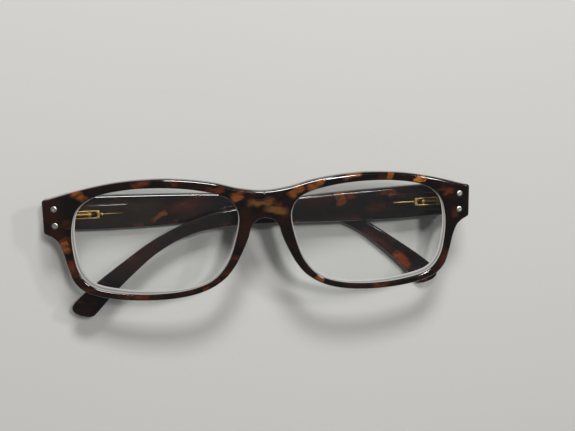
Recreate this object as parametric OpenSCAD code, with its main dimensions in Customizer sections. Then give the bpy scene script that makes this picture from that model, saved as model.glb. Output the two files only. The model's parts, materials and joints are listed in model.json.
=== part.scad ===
// Folding reading glasses with spring hinges, laid face up on their folded temples.
// X runs across the front, Y towards the brow, and Z away from the table.
// Both temples share one local frame: s along the temple from its hinge pin, y up
// the face, and n through the thickness, from the pin towards the outer face.

/* [Front] */
// Radius of the curved face, seen from above the brow
face_radius = 500; // [350:10:900]
// Thickness of the rims, front to back
rim_depth = 3.8; // [3.2:0.1:4.6]
// Half of the distance between the lens openings, at the bridge
bridge_half = 8.3; // [7.5:0.1:10]
// Width of one lens opening
lens_w = 52.6; // [44:0.2:60]
// Height of one lens opening
lens_h = 34.3; // [26:0.1:38]
// Width of the rim above the lens
rim_top = 2.7; // [2.2:0.1:4]
// Width of the rim below the lens
rim_bottom = 2.1; // [1.8:0.1:3.5]
// Width of the rim beside the nose
rim_nose = 2.6; // [2:0.1:4]
// How far the end piece reaches past the lens opening
end_reach = 8.7; // [7.5:0.1:12]
// Height of the end piece
end_h = 11; // [10:0.1:13]
// Thickness of the end piece behind its front face
end_depth = 5.6; // [5:0.1:7]

/* [Lenses] */
// Thickness of a lens
lens_t = 1.9; // [1.4:0.1:2.2]
// How far the lens edge sits in the groove of the rim
lens_seat = 0.9; // [0.6:0.1:1.2]
// Gap between the lens and its groove
lens_gap = 0.03; // [0.02:0.01:0.1]

/* [Temples] */
// Length from the hinge pin to the tip, measured along the face
temple_len = 127; // [110:1:140]
// Height of the temple at the hinge
temple_h = 10.8; // [9.8:0.1:12]
// Thickness of the block that holds the hinge
block_t = 3.9; // [3.6:0.1:4.6]
// Length of the block that holds the hinge
block_len = 21; // [20:0.5:26]
// Height of the block that holds the hinge
block_h = 6.2; // [5.6:0.1:7]
// Thickness just past the hinge block
arm_t = 3.2; // [2.8:0.1:3.5]
// Thickness at the ear
ear_t = 2.5; // [2:0.1:3]
// Angle by which the right temple hangs below square, in degrees
right_droop = 1.4; // [0:0.1:3]
// Angle by which the left temple hangs below square, in degrees
left_droop = -0.2; // [-1:0.1:3]
// Angle between the folded left temple and the front, in degrees
left_fold = 1; // [0.8:0.1:2]
// Angle by which the right temple folds past the front, in degrees
right_fold = 2.6; // [2.2:0.1:2.8]

/* [Hinges] */
// Height of the hinge centre above the middle of the lenses
hinge_y = 7.6; // [7:0.1:8.5]
// Distance from the end piece back to the pin
pin_back = 2; // [1.7:0.1:2.4]
// Radius of the knuckles
knuckle_r = 1.25; // [1.1:0.05:1.4]
// Height of one knuckle
knuckle_h = 1.4; // [1.2:0.1:1.8]
// Gap between neighbouring knuckles
knuckle_gap = 0.05; // [0.03:0.01:0.1]
// Radius of the screw's shank
screw_r = 0.55; // [0.45:0.01:0.65]
// Running clearance of the turning and sliding parts
fit_gap = 0.05; // [0.02:0.01:0.08]
// Thickness of the leaf let into the end piece
leaf_t = 0.8; // [0.6:0.1:1.2]
// Radius of a rivet's shank
rivet_r = 0.6; // [0.5:0.05:0.8]
// Radius of a rivet's head
rivet_head_r = 1.05; // [0.9:0.05:1.3]
// Distance between the two rivets
rivet_pitch = 5.3; // [4.8:0.1:6]
// Distance from the side of the end piece in to the rivets
rivet_in = 3.7; // [3.2:0.1:4.2]

/* [Spring boxes] */
// Length of the spring box
box_len = 9.2; // [8.6:0.1:10]
// Height of the spring box
box_h = 2.7; // [2.5:0.1:3.2]
// Depth of the spring box
box_t = 2.3; // [2.2:0.1:2.6]
// How far the box stands proud of the temple
box_proud = 0.25; // [0.1:0.05:0.4]
// Travel of the sprung slider
travel = 1.3; // [0.8:0.1:1.6]
// Turns of the coil spring
spring_turns = 8; // [6:1:9]
// Radius of the spring wire
spring_wire_r = 0.12; // [0.1:0.01:0.14]
// Radius of the pull rod
rod_r = 0.4; // [0.3:0.05:0.45]
// Length of the anchor wire behind the box
anchor_len = 18; // [12:1:30]
// Radius of the anchor wire
anchor_r = 0.35; // [0.25:0.05:0.45]

/* [Hidden] */
$fn = 48;
tortoise = [0.20, 0.09, 0.04];
gold = [0.80, 0.62, 0.28];
silver = [0.78, 0.78, 0.76];
clear_glass = [0.85, 0.92, 0.93, 0.35];

eps = 0.01;
far = 60;
curve_steps = 6;

// ---- curves ----
// Point at t between knots b and c of a smooth curve through a, b, c and d
function through(a, b, c, d, t) =
  0.5 * (2 * b + (c - a) * t + (2 * a - 5 * b + 4 * c - d) * t * t
         + (3 * b - a - 3 * c + d) * t * t * t);
function knot(k, i) = k[(i + len(k)) % len(k)];
// Closed smooth curve through the knots
function ring(k) = [
  for (i = [0:len(k) - 1]) for (j = [0:curve_steps - 1])
    through(knot(k, i - 1), knot(k, i), knot(k, i + 1), knot(k, i + 2), j / curve_steps)
];
// Open smooth curve through the knots, ends included
function run(k) = [
  for (i = [0:len(k) - 2]) for (j = [0:(i == len(k) - 2 ? curve_steps : curve_steps - 1)])
    through(i == 0 ? 2 * k[0] - k[1] : k[i - 1], k[i], k[i + 1],
            i == len(k) - 2 ? 2 * k[i + 1] - k[i] : k[i + 2], j / curve_steps)
];
// Quarter-round corner of radius r at c, from angle a0 to a1
function corner(c, r, a0, a1) = [
  for (j = [0:4]) c + r * [cos(a0 + (a1 - a0) * j / 4), sin(a0 + (a1 - a0) * j / 4)]
];
// The curve without its first n points
function without(p, n) = [for (i = [n:len(p) - 1]) p[i]];
function backwards(p) = [for (i = [len(p) - 1:-1:0]) p[i]];
function mirrored(p) = [for (q = backwards(p)) [-q.x, q.y]];
function unit(v) = v / norm(v);
// The outline p moved outwards by d, for points that run clockwise
function grown(p, d) = [
  for (i = [0:len(p) - 1])
    let (t = unit(knot(p, i + 1) - knot(p, i - 1))) p[i] + d * [-t.y, t.x]
];

// ---- front ----
lens_x = bridge_half + lens_w / 2;
top_y = lens_h / 2;
end_x = bridge_half + lens_w + end_reach;
end_top = 14.1;
end_low = end_top - end_h;
// Knots of a lens opening as shares of its half width and half height
lens_knots = [
  [-1, 0.41], [-0.925, 0.69], [-0.745, 0.85], [-0.40, 0.96], [-0.02, 1], [0.36, 0.975],
  [0.70, 0.87], [0.92, 0.64], [1, 0.26], [0.995, -0.18], [0.93, -0.58], [0.755, -0.85],
  [0.40, -0.97], [0.02, -1], [-0.36, -0.945], [-0.65, -0.785], [-0.84, -0.47], [-0.95, -0.03]
];
lens_outline = ring([for (k = lens_knots) [lens_x + k.x * lens_w / 2, k.y * lens_h / 2]]);
brow_y = top_y + rim_top;
chin_y = -top_y - rim_bottom;
nose_x = bridge_half - rim_nose;
rim_x = bridge_half + lens_w;
// The brow, from the middle of the bridge to the end piece. Its first knot is the other
// side of the bridge, so that the curve crosses the middle level
brow = without(run([
  [-8, brow_y - 3.75], [0, brow_y - 4.7], [8, brow_y - 3.75], [16, brow_y - 1.75], [lens_x - 10, brow_y - 0.5],
  [lens_x - 1, brow_y], [lens_x + 11, brow_y - 0.7], [rim_x - 4, brow_y - 2.75],
  [end_x - 2, end_top + 0.15]
]), curve_steps);
end_r = 0.9;
end_corners = concat(
  corner([end_x - end_r, end_top - end_r], end_r, 75, 0),
  corner([end_x - end_r, end_low + end_r], end_r, 0, -60)
);
// From the end piece down the outer rim, along the chin and up to the middle of the arch
outer_rim = backwards(without(backwards(run([
  [rim_x + 6.2, end_low - 0.9], [rim_x + 4.4, end_low - 2.7], [rim_x + 3, -3.2],
  [rim_x + 1.8, -8], [rim_x - 0.1, -13], [rim_x - 4.4, chin_y + 2.8], [rim_x - 13, chin_y + 0.7],
  [lens_x + 2, chin_y], [lens_x - 8, chin_y + 0.7], [lens_x - 15.5, chin_y + 2.7],
  [nose_x + 7.8, chin_y + 6.1], [nose_x + 4.3, -9], [nose_x + 1.6, -4], [nose_x - 0.4, 1.2],
  [3, 4.7], [0, 6.4], [-3, 4.7]
])), curve_steps));
half_outline = concat(brow, end_corners, outer_rim);
front_outline = concat(half_outline, mirrored([for (i = [1:len(half_outline) - 2]) half_outline[i]]));

function face_z(x) = sqrt(face_radius * face_radius - x * x) - face_radius;
end_back = end_depth - face_z(rim_x + 3);
// The hinge block of an open temple stops just inside the side of the end piece
pin_side = 0.45;
pin_x = end_x - block_t - knuckle_r - pin_side;
pin_depth = end_back + pin_back;
rivet_x = end_x - rivet_in;
rivet_y = end_top - end_h / 2 - 0.05;
head_sink = 0.35;

// ---- temples ----
block_in = knuckle_r + 0.1;
outer_n = block_in + block_t;
butt_s = 0.1 - pin_back;
temple_top = hinge_y + temple_h * 0.53;
temple_low = temple_top - temple_h;
tip_s = temple_len - 127;

// Knots of the top and bottom edges: the straight arm, the ear bend and the tip
top_knots = [
  [butt_s, temple_top - 0.15], [8, temple_top + 0.1], [25, temple_top - 0.2],
  [40, temple_top - 0.6], [tip_s + 53, temple_top - 1.25], [tip_s + 64, temple_top - 2.3],
  [tip_s + 73, temple_top - 3.6], [tip_s + 81, temple_top - 5], [tip_s + 88, temple_top - 7],
  [tip_s + 94.5, temple_top - 9.6], [tip_s + 102, temple_top - 13.4],
  [tip_s + 112, temple_top - 20.1], [tip_s + 120, temple_top - 25.8],
  [tip_s + 124.6, temple_top - 29.6]
];
tip_knots = [
  [tip_s + 126.4, temple_top - 31.4], [tip_s + 127, temple_top - 33.2],
  [tip_s + 125.6, temple_top - 35], [tip_s + 122.6, temple_top - 36.2],
  [tip_s + 120.6, temple_top - 36.2]
];
low_knots = [
  [tip_s + 118.8, temple_top - 34.8], [tip_s + 111.6, temple_top - 27.3],
  [tip_s + 105, temple_top - 21.4], [tip_s + 99, temple_top - 16.7],
  [tip_s + 92, temple_top - 12.9], [tip_s + 85, temple_top - 10.6],
  [tip_s + 76, temple_top - 9.5], [tip_s + 64, temple_top - 9.5],
  [50, temple_top - 9.9], [30, temple_top - 10.8], [14, temple_top - 11],
  [butt_s, temple_low]
];
function temple_outline(droop) = [
  for (q = concat(run(top_knots), run(tip_knots), run(low_knots)))
    [q.x, q.y - max(q.x, 0) * tan(droop)]
];
// Plan of the arm: flat outer face, and an inner face that tapers to the ear
arm_plan = [
  [butt_s - 1, outer_n], [temple_len + 5, outer_n], [temple_len + 5, outer_n - ear_t],
  [tip_s + 85, outer_n - ear_t], [block_len, outer_n - arm_t], [butt_s - 1, outer_n - arm_t]
];
// The hinge block stands on the arm's inner face, with two round corners at its far end
block_r = 1.1;
block_outline = concat(
  [[butt_s, hinge_y + block_h / 2], [butt_s, hinge_y - block_h / 2]],
  corner([block_len - block_r, hinge_y - block_h / 2 + block_r], block_r, -90, 0),
  corner([block_len - block_r, hinge_y + block_h / 2 - block_r], block_r, 0, 90)
);
neck_end = 2.15;
box_s = neck_end + fit_gap;
box_n = block_in - box_proud;
rod_n = box_n + box_t / 2;
wall = 0.8;
bore_r = 0.95;
nut_r = bore_r - 0.1;
nut_len = 0.8;
spring_s = box_s + wall;
// Length of the spring when the slider is pulled right out
pressed_len = 3.5;
spring_len = pressed_len + travel;
spring_r = (bore_r + rod_r) / 2 - 0.05;
slot_w = 1.86;
neck_h = knuckle_h;
anchor_s = box_s + box_len;
anchor_n = block_in + 0.5;
anchor_head_r = 0.55;
anchor_head_len = 1;
groove_len = 7.5;

// Everything leans by the left temple's fold, so that temple lies flat on the table.
// The origin is on that temple's outer face, level with the hinges and below the bridge.
module laid_down()
  translate([0, -hinge_y, pin_x * sin(left_fold) + pin_depth * cos(left_fold) + outer_n])
    rotate([0, -left_fold, 0])
      children();

// Places a piece drawn in the temple's local frame, as x = s, y = y, z = -n
module at_left()
  laid_down() translate([-pin_x, 0, -pin_depth]) rotate([0, left_fold, 0]) children();
module at_right()
  laid_down() translate([pin_x, 0, -pin_depth]) rotate([0, right_fold, 0]) mirror([1, 0, 0])
    children();
// Places a piece of the front drawn for the right side
module on_left() laid_down() mirror([1, 0, 0]) children();
module on_right() laid_down() children();

// Solid between two radii of the curved face, given as depths behind it
module shell(d0, d1)
  translate([0, 0, -face_radius])
    rotate([90, 0, 0])
      difference() {
        cylinder(r = face_radius - d0, h = 2 * far, center = true, $fn = 200);
        cylinder(r = face_radius - d1, h = 3 * far, center = true, $fn = 200);
      }
// A straight rod along y between two heights, at depth d
module post(x, y0, y1, d, r)
  translate([x, y1, -d]) rotate([90, 0, 0]) cylinder(r = r, h = y1 - y0);

// ---- pieces of the front ----
module lens_cut(d, grow)
  translate([0, 0, -20]) linear_extrude(40) polygon(grown(lens_outline, grow));

module end_block() {
  block_points = [
    [rim_x + 1.2, end_low - 1], [rim_x + 1.2, end_top + 1.2],
    [end_x - 2, end_top + 0.15], [end_x - 0.7, end_top - 0.1], [end_x, end_top - 0.9],
    [end_x, end_low + 0.9], [end_x - 0.9, end_low], [rim_x + 6.2, end_low - 0.9],
    [rim_x + 4.6, end_low - 2.4]
  ];
  intersection() {
    translate([0, 0, -end_back]) linear_extrude(end_back + 1) polygon(block_points);
    translate([0, 0, -face_radius]) rotate([90, 0, 0])
      cylinder(r = face_radius, h = 2 * far, center = true, $fn = 200);
  }
}

// A nose pad moulded on the back of the rim, along the arch
module nose_pad() {
  pad_in = run([[nose_x + 0.3, 0.5], [nose_x + 1.2, -4], [nose_x + 3, -8.5], [nose_x + 5, -11.5]]);
  pad_out = run([[nose_x + 6.2, -10.2], [nose_x + 4.3, -6.5], [nose_x + 2.9, -3], [nose_x + 2, 0]]);
  translate([0, 0, -rim_depth - 3.4]) linear_extrude(4) polygon(concat(pad_in, pad_out));
}

module rivet_holes() {
  for (dy = [-1, 1] * rivet_pitch / 2) {
    translate([rivet_x, rivet_y + dy, -end_back - 1]) cylinder(r = rivet_r, h = end_back + 3);
    translate([rivet_x, rivet_y + dy, face_z(rivet_x) - head_sink])
      cylinder(r = rivet_head_r, h = 3);
  }
}

leaf_edge = 1.3;
leaf_gap = 0.02;
leaf_x0 = pin_x - knuckle_r - 0.95;
leaf_x1 = rivet_x + leaf_edge;
leaf_y0 = rivet_y - rivet_pitch / 2 - leaf_edge;
leaf_y1 = rivet_y + rivet_pitch / 2 + leaf_edge;
module leaf_plate(grow)
  translate([leaf_x0 - grow, leaf_y0 - grow, -end_back - grow])
    cube([leaf_x1 - leaf_x0 + 2 * grow, leaf_y1 - leaf_y0 + 2 * grow, leaf_t + 2 * grow]);

module half_front() {
  difference() {
    union() {
      intersection() {
        translate([0, 0, -20]) linear_extrude(40) polygon(front_outline);
        shell(0, rim_depth);
        translate([-eps, -far, -30]) cube([2 * far, 2 * far, 60]);
      }
      end_block();
      nose_pad();
    }
    lens_cut(0, 0);
    intersection() {
      lens_cut(0, lens_seat + lens_gap);
      shell(rim_depth / 2 - lens_t / 2 - lens_gap, rim_depth / 2 + lens_t / 2 + lens_gap);
    }
    rivet_holes();
    leaf_plate(leaf_gap);
  }
}
module front_frame()
  color(tortoise) laid_down() union() {
    half_front();
    mirror([1, 0, 0]) half_front();
  }

module lens()
  intersection() {
    lens_cut(0, lens_seat);
    shell(rim_depth / 2 - lens_t / 2, rim_depth / 2 + lens_t / 2);
  }
module left_lens() color(clear_glass) on_left() lens();
module right_lens() color(clear_glass) on_right() lens();

// Heights of the knuckles: the slider's in the middle, one of the leaf's on each side
mid_low = hinge_y - knuckle_h / 2;
mid_top = hinge_y + knuckle_h / 2;
module front_hinge()
  difference() {
    union() {
      leaf_plate(0);
      for (y0 = [mid_low - knuckle_gap - knuckle_h, mid_top + knuckle_gap]) {
        post(pin_x, y0, y0 + knuckle_h, pin_depth, knuckle_r);
        translate([pin_x - knuckle_r, y0, -pin_depth])
          cube([2 * knuckle_r, knuckle_h, pin_back + eps]);
      }
    }
    post(pin_x, mid_low - 3, mid_low, pin_depth, screw_r + 0.01);
    post(pin_x, mid_low, mid_top + 3, pin_depth, screw_r + fit_gap);
    for (dy = [-1, 1] * rivet_pitch / 2)
      translate([rivet_x, rivet_y + dy, -end_back - 1]) cylinder(r = rivet_r + 0.01, h = 4);
  }
module left_front_hinge() color(gold) on_left() front_hinge();
module right_front_hinge() color(gold) on_right() front_hinge();

// Two rivets hold the leaf through the end piece, their domed heads on the face
module front_rivets()
  for (dy = [-1, 1] * rivet_pitch / 2)
    translate([rivet_x, rivet_y + dy, 0]) {
      translate([0, 0, -end_back]) cylinder(r = rivet_r, h = end_back + face_z(rivet_x) - head_sink);
      translate([0, 0, face_z(rivet_x) - head_sink])
        cylinder(r1 = rivet_head_r, r2 = rivet_head_r - 0.12, h = head_sink + 0.05);
      intersection() {
        translate([0, 0, face_z(rivet_x) - 1.7]) sphere(r = 2);
        translate([0, 0, face_z(rivet_x)]) cylinder(r = rivet_head_r - 0.15, h = 1);
      }
    }
module left_front_rivets() color(silver) on_left() front_rivets();
module right_front_rivets() color(silver) on_right() front_rivets();

// The screw is driven from the brow side and holds in the lowest knuckle
screw_top = mid_top + knuckle_gap + knuckle_h;
module hinge_screw()
  difference() {
    union() {
      post(pin_x, mid_low - knuckle_gap - knuckle_h, screw_top, pin_depth, screw_r);
      post(pin_x, screw_top, screw_top + 0.55, pin_depth, knuckle_r - 0.2);
    }
    translate([pin_x - 2, screw_top + 0.3, -pin_depth - 0.15]) cube([4, 1, 0.3]);
  }
module left_hinge_screw() color(silver) on_left() hinge_screw();
module right_hinge_screw() color(silver) on_right() hinge_screw();

// ---- pieces of a temple, in its local frame ----
// Box between two values of s, y and n
module local_box(s0, s1, y0, y1, n0, n1)
  translate([s0, y0, -n1]) cube([s1 - s0, y1 - y0, n1 - n0]);
// Rod along s at the height of the hinge and depth n
module local_rod(s0, s1, n, r)
  translate([s0, hinge_y, -n]) rotate([0, 90, 0]) cylinder(r = r, h = s1 - s0);

module temple(droop)
  difference() {
    union() {
      intersection() {
        translate([0, 0, -outer_n - 1]) linear_extrude(outer_n + 1) polygon(temple_outline(droop));
        translate([0, far, 0]) rotate([90, 0, 0]) linear_extrude(2 * far)
          polygon([for (q = arm_plan) [q.x, -q.y]]);
      }
      translate([0, 0, 1 - outer_n]) linear_extrude(outer_n - 1 - block_in) polygon(block_outline);
    }
    local_box(box_s, anchor_s, hinge_y - box_h / 2, hinge_y + box_h / 2, block_in - 1,
              box_n + box_t);
    local_box(butt_s - 1, box_s + eps, hinge_y - neck_h / 2 - 0.15, hinge_y + neck_h / 2 + 0.15,
              block_in - 1, rod_n + rod_r + 0.3);
    local_rod(anchor_s - eps, anchor_s + anchor_len, anchor_n, anchor_r);
    local_box(anchor_s - eps, anchor_s + groove_len, hinge_y - anchor_r, hinge_y + anchor_r,
              block_in - 1, anchor_n);
    local_rod(anchor_s - eps, anchor_s + anchor_head_len + 0.1, anchor_n, anchor_head_r);
    local_box(anchor_s - eps, anchor_s + anchor_head_len + 0.1, hinge_y - anchor_head_r,
              hinge_y + anchor_head_r, block_in - 1, anchor_n);
  }
module left_temple() color(tortoise) at_left() temple(left_droop);
module right_temple() color(tortoise) at_right() temple(right_droop);

// The box is open towards the face in a long round-ended slot that shows the spring
module spring_box()
  difference() {
    local_box(box_s, anchor_s, hinge_y - box_h / 2, hinge_y + box_h / 2, box_n, box_n + box_t);
    local_rod(spring_s, anchor_s - wall, rod_n, bore_r);
    local_rod(box_s - 1, spring_s + eps, rod_n, rod_r + fit_gap);
    local_box(spring_s + 0.4, anchor_s - wall - slot_w / 2, hinge_y - slot_w / 2,
              hinge_y + slot_w / 2, box_n - 1, rod_n);
    translate([anchor_s - wall - slot_w / 2, hinge_y, -rod_n]) cylinder(r = slot_w / 2, h = 5);
  }
module left_spring_box() color(gold) at_left() spring_box();
module right_spring_box() color(gold) at_right() spring_box();

// Middle knuckle, neck and pull rod in one piece
module hinge_slider()
  difference() {
    union() {
      post(0, mid_low, mid_top, 0, knuckle_r);
      local_box(0, neck_end, mid_low, mid_top, 0, rod_n + rod_r + 0.1);
      local_rod(neck_end - eps, spring_s + spring_len + nut_len, rod_n, rod_r);
    }
    post(0, mid_low - 1, mid_top + 1, 0, screw_r + fit_gap);
  }
module left_hinge_slider() color(gold) at_left() hinge_slider();
module right_hinge_slider() color(gold) at_right() hinge_slider();

module spring_nut()
  difference() {
    local_rod(spring_s + spring_len, spring_s + spring_len + nut_len, rod_n, nut_r);
    local_rod(spring_s, spring_s + spring_len + 2 * nut_len, rod_n, rod_r + 0.01);
  }
module left_spring_nut() color(gold) at_left() spring_nut();
module right_spring_nut() color(gold) at_right() spring_nut();

// Round wire wound round the pull rod between the box's mouth and the nut
wire_sides = 6;
turn_steps = 14;
coil_len = spring_len - 2 * spring_wire_r - 0.06;
coil_n = spring_turns * turn_steps;
function coil_point(i, j) =
  let (a = 360 * i / turn_steps, b = 360 * j / wire_sides, r = spring_r + spring_wire_r * cos(b))
    [coil_len * i / coil_n + spring_wire_r * sin(b), r * cos(a), r * sin(a)];
module coil_spring() {
  points = [for (i = [0:coil_n]) for (j = [0:wire_sides - 1]) coil_point(i, j)];
  sides = [
    for (i = [0:coil_n - 1]) for (j = [0:wire_sides - 1])
      let (a = i * wire_sides + j, b = i * wire_sides + (j + 1) % wire_sides)
        [a, a + wire_sides, b + wire_sides, b]
  ];
  first = [for (j = [0:wire_sides - 1]) j];
  last = [for (j = [wire_sides - 1:-1:0]) coil_n * wire_sides + j];
  translate([spring_s + spring_wire_r + 0.03, hinge_y, -rod_n])
    polyhedron(points, concat(sides, [first, last]));
}
module left_hinge_spring() color(gold) at_left() coil_spring();
module right_hinge_spring() color(gold) at_right() coil_spring();

// The wire is brazed to the box by its head, and anchors the box in the plastic
module anchor_wire() {
  local_rod(anchor_s, anchor_s + anchor_len - 0.1, anchor_n, anchor_r - 0.02);
  local_rod(anchor_s, anchor_s + anchor_head_len, anchor_n, anchor_head_r - 0.02);
}
module left_anchor_wire() color(gold) at_left() anchor_wire();
module right_anchor_wire() color(gold) at_right() anchor_wire();

front_frame();
left_lens();
right_lens();
left_front_hinge();
right_front_hinge();
left_front_rivets();
right_front_rivets();
left_hinge_screw();
right_hinge_screw();
left_temple();
right_temple();
left_spring_box();
right_spring_box();
left_hinge_slider();
right_hinge_slider();
left_hinge_spring();
right_hinge_spring();
left_spring_nut();
right_spring_nut();
left_anchor_wire();
right_anchor_wire();
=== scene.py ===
import json
import math

import bmesh
import bpy
import numpy as np
from mathutils import Matrix


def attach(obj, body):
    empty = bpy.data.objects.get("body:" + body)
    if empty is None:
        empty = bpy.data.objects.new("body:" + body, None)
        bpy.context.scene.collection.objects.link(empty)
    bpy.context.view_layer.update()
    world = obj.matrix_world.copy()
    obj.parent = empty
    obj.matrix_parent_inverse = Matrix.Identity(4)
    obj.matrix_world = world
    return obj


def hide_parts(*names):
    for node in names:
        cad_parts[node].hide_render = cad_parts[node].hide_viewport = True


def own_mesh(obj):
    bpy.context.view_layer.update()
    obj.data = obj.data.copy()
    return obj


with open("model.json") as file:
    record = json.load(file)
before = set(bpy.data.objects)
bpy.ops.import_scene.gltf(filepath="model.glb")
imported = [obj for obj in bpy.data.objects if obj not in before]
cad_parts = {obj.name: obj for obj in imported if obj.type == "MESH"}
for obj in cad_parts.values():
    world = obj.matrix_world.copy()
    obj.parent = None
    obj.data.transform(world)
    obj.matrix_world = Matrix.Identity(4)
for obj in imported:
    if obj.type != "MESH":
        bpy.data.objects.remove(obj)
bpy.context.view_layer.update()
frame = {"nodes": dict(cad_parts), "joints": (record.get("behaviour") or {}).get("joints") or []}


# ---- The front ----
# One piece of tortoiseshell cellulose acetate, cut from a sheet, bent round the face and
# tumbled until every edge is round. The end pieces are thicker, to take the hinges, and
# two nose pads stand on the back. Sizes are in millimetres, and made metres at the end.
joints = {j["name"]: j for j in frame["joints"]}
left_pin = 1000 * np.array(joints["left_fold"]["pos_m"])
right_pin = 1000 * np.array(joints["right_fold"]["pos_m"])
hinge_y = 7.6
pin_depth = 11.7
rightwards = (right_pin - left_pin) / np.linalg.norm(right_pin - left_pin)
upwards = np.array([0.0, 1.0, 0.0])
outwards = np.array([-rightwards[2], 0.0, rightwards[0]])
face_middle = (left_pin + right_pin) / 2 + pin_depth * outwards

face_radius = 500
rim_depth = 3.8
bridge_half = 8.3
lens_w, lens_h = 52.6, 34.3
lens_x = bridge_half + lens_w / 2
rim_x = bridge_half + lens_w
end_x = rim_x + 8.7
end_top, end_low = 14.1, 3.1
end_back = 9.65
nose_x = bridge_half - 2.6
brow_y = lens_h / 2 + 2.7
chin_y = -lens_h / 2 - 2.1


def on_front(x, y, z):
    """Row-frame points, in metres, for places across the front, up from the middle of the
    lenses and out from the face."""
    x, y, z = np.broadcast_arrays(x, y, z)
    place = face_middle + x[..., None] * rightwards + z[..., None] * outwards
    return 0.001 * (place + (y - hinge_y)[..., None] * upwards)


def face_z(x):
    """The face is part of an upright cylinder: its height falls as the circle does."""
    return np.sqrt(face_radius**2 - x**2) - face_radius


def smooth_curve(knots, steps, closed=False):
    """A Catmull-Rom curve: between two knots it is the cubic that passes through both and
    leaves each one parallel to the line between that knot's neighbours."""
    k = np.asarray(knots, float)
    if closed:
        k = np.vstack([k[-1:], k, k[:2]])
    else:
        k = np.vstack([2 * k[:1] - k[1:2], k, 2 * k[-1:] - k[-2:-1]])
    a, b, c, d = (q[:, None, :] for q in (k[:-3], k[1:-2], k[2:-1], k[3:]))
    t = np.linspace(0, 1, steps, endpoint=False)[None, :, None]
    curve = 0.5 * (2 * b + (c - a) * t + (2 * a - 5 * b + 4 * c - d) * t**2
                   + (3 * b - a - 3 * c + d) * t**3)
    curve = curve.reshape(-1, k.shape[1])
    return curve if closed else np.vstack([curve, k[-2]])


def quarter_round(centre, radius, start, stop, steps=9):
    """Points of an arc about the centre, from one angle to another in degrees."""
    angle = np.radians(np.linspace(start, stop, steps))
    return np.array(centre) + radius * np.column_stack([np.cos(angle), np.sin(angle)])


def distance_to(points, line, closed=False):
    """How far each point is from the nearest stretch of the line."""
    start = line if closed else line[:-1]
    stretch = (np.roll(line, -1, axis=0) if closed else line[1:]) - start
    length2 = np.maximum((stretch**2).sum(1), 1e-12)
    flat = points.reshape(-1, 2)
    nearest = []
    for some in np.array_split(flat, 1 + len(flat) // 2000):
        gap = some[:, None] - start
        t = np.clip((gap * stretch).sum(2) / length2, 0, 1)
        nearest.append(np.sqrt(((gap - t[..., None] * stretch)**2).sum(2)).min(1))
    return np.concatenate(nearest).reshape(points.shape[:-1])


def rounding(distance, width, height):
    """How far a surface falls at that distance from its edge: a quarter of an ellipse."""
    t = 1 - np.clip(distance / width, 0, 1)
    return height * (1 - np.sqrt(1 - t**2))


# Steps in from an edge, as shares of the width of its rounding, with nearly even turns
EDGE_STEPS = 1 - np.cos(np.radians([0, 14, 28, 42, 56, 72, 90]))


def facing(outer, inner, evening):
    """For each point of a closed line round a hole, the point of the hole's edge that it
    faces: the nearest one, averaged with its neighbours' so that no two lines cross."""
    gap = ((outer[:, None] - inner)**2).sum(2)
    turn = np.unwrap(gap.argmin(1) * 2 * np.pi / len(inner))
    even = np.linspace(0, 2 * np.pi, len(outer), endpoint=False)
    window = np.hanning(evening + 2)[1:-1]
    ends = np.pad(turn - even, evening, mode="wrap")
    turn = even + np.convolve(ends, window / window.sum(), mode="same")[evening:-evening]
    place = np.mod(turn, 2 * np.pi) * len(inner) / (2 * np.pi)
    wrapped = np.vstack([inner, inner[:1]])
    return np.column_stack([np.interp(place, np.arange(len(wrapped)), q) for q in wrapped.T])


def grid_faces(rows, columns, close_rows=False, close_columns=False, first=0):
    """Four-cornered faces between neighbours of a grid of points numbered row by row."""
    r = np.arange(rows if close_rows else rows - 1)
    c = np.arange(columns if close_columns else columns - 1)
    r, c = (q.ravel() for q in np.meshgrid(r, c, indexing="ij"))
    r2, c2 = (r + 1) % rows, (c + 1) % columns
    return first + np.column_stack([r * columns + c, r2 * columns + c,
                                    r2 * columns + c2, r * columns + c2])


def strip_faces(one, other):
    """Faces between two lines of point numbers of the same length."""
    return np.column_stack([one[:-1], one[1:], other[1:], other[:-1]])


def make_piece(name, points, faces, crease=40):
    """A closed mesh of those points and faces, doubles merged and faces turned outwards,
    shaded smooth except where it turns by more than the crease angle."""
    mesh = bpy.data.meshes.new(name)
    mesh.from_pydata(np.asarray(points).reshape(-1, 3).tolist(), [], faces.tolist())
    work = bmesh.new()
    work.from_mesh(mesh)
    bmesh.ops.remove_doubles(work, verts=work.verts, dist=1e-7)
    bmesh.ops.recalc_face_normals(work, faces=work.faces)
    work.to_mesh(mesh)
    work.free()
    mesh.shade_smooth()
    mesh.set_sharp_from_angle(angle=math.radians(crease))
    piece = bpy.data.objects.new(name, mesh)
    bpy.context.scene.collection.objects.link(piece)
    return piece


# Outline of a lens opening, in shares of its half width and half height, from the nose
lens_knots = np.array([
    [-1, 0.41], [-0.925, 0.69], [-0.745, 0.85], [-0.40, 0.96], [-0.02, 1], [0.36, 0.975],
    [0.70, 0.87], [0.92, 0.64], [1, 0.26], [0.995, -0.18], [0.93, -0.58], [0.755, -0.85],
    [0.40, -0.97], [0.02, -1], [-0.36, -0.945], [-0.65, -0.785], [-0.84, -0.47], [-0.95, -0.03],
])
opening = smooth_curve([lens_x, 0] + lens_knots * [lens_w / 2, lens_h / 2], 20, closed=True)

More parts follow.
